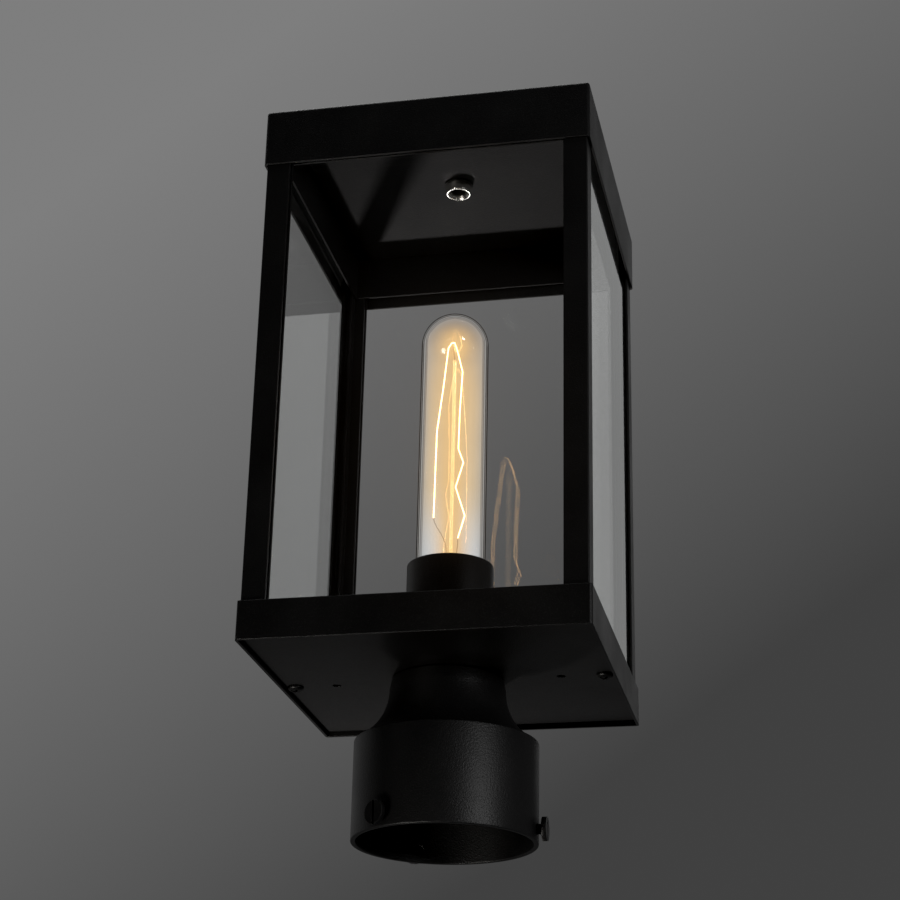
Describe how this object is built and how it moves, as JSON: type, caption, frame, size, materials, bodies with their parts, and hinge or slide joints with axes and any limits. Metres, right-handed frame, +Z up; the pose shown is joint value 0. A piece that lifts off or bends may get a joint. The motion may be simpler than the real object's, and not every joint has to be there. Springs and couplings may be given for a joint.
{
  "type": "post top lantern",
  "caption": "Square black post top lantern with four clear panes, a flat roof, a tubular filament lamp and a round collar that clamps on a post.",
  "frame": {"origin": "centre of the post collar's lower rim", "axes": "+Z up along the post, -Y the front pane, +X to the right seen from the front"},
  "size_m": [0.152, 0.152, 0.336],
  "materials": {
    "black_coat": "satin black powder coat with fine grain",
    "clear_glass": "clear float glass",
    "black_rubber": "matte",
    "nickel_plate": "bright nickel plate",
    "black_steel": "black oxide",
    "dark_zinc": "dull zinc on cut thread",
    "zinc_steel": "zinc plate",
    "green_steel": "green earth screw",
    "white_ceramic": "glazed",
    "brass": "plain",
    "amber_glass": "clear glass, faintly amber",
    "stem_glass": "clear glass",
    "lamp_brass": "thin rolled shell",
    "black_glass": "glossy",
    "tin_solder": "soldered tip",
    "wire_nickel": "fine drawn wire",
    "hot_filament": "glowing carbon filament"
  },
  "bodies": {
    "foot": {"post_fitter": "black_coat", "bottom_plate": "black_coat", "plate_screws": "black_steel", "stem_nipple": "zinc_steel", "stem_nut": "zinc_steel", "stem_washer": "zinc_steel", "strap_nut": "zinc_steel", "socket_cup": "black_coat", "holder_strap": "zinc_steel", "lamp_holder": "white_ceramic", "screw_shell": "nickel_plate", "centre_contact": "brass", "contact_rivet": "brass", "holder_screws": "zinc_steel", "ground_screw": "green_steel"},
    "cage": {"roof_cover": "black_coat", "roof_cap": "black_coat", "cap_seal": "black_rubber", "roof_nipple": "dark_zinc", "roof_ring_nut": "nickel_plate", "ring_nut_washer": "black_steel", "ceiling_plate": "black_coat", "top_ring": "black_coat", "corner_post_front_left": "black_coat", "corner_post_front_right": "black_coat", "corner_post_back_left": "black_coat", "corner_post_back_right": "black_coat", "pane_front": "clear_glass", "pane_right": "clear_glass", "pane_back": "clear_glass", "pane_left": "clear_glass", "pane_seat_front": "black_rubber", "pane_seat_right": "black_rubber", "pane_seat_back": "black_rubber", "pane_seat_left": "black_rubber", "base_skirt": "black_coat", "base_ledge": "black_coat"},
    "lamp": {"bulb_glass": "amber_glass", "bulb_base": "lamp_brass", "bulb_insulator": "black_glass", "bulb_contact": "tin_solder", "bulb_stem": "stem_glass", "bulb_lead_wires": "wire_nickel", "bulb_filament": "hot_filament", "filament_anchors": "wire_nickel"},
    "thumb_right": {"thumb_screw_right": "black_steel"},
    "thumb_back_left": {"thumb_screw_back_left": "black_steel"},
    "thumb_front_left": {"thumb_screw_front_left": "black_steel"}
  },
  "joints": [
    {"name": "cage_lift", "type": "slide", "parent": "foot", "child": "cage", "axis": [0, 0, 1], "range_m": [0, 0.2]},
    {"name": "lamp_unscrew", "type": "slide", "parent": "foot", "child": "lamp", "axis": [0, 0, 1], "range_m": [0, 0.04]},
    {"name": "thumb_screw_right_travel", "type": "slide", "parent": "foot", "child": "thumb_right", "axis": [-1, 0, 0], "range_m": [-0.002, 0.002]},
    {"name": "thumb_screw_back_left_travel", "type": "slide", "parent": "foot", "child": "thumb_back_left", "axis": [0.5, -0.866, 0], "range_m": [-0.002, 0.002]},
    {"name": "thumb_screw_front_left_travel", "type": "slide", "parent": "foot", "child": "thumb_front_left", "axis": [0.5, 0.866, 0], "range_m": [-0.002, 0.002]}
  ]
}
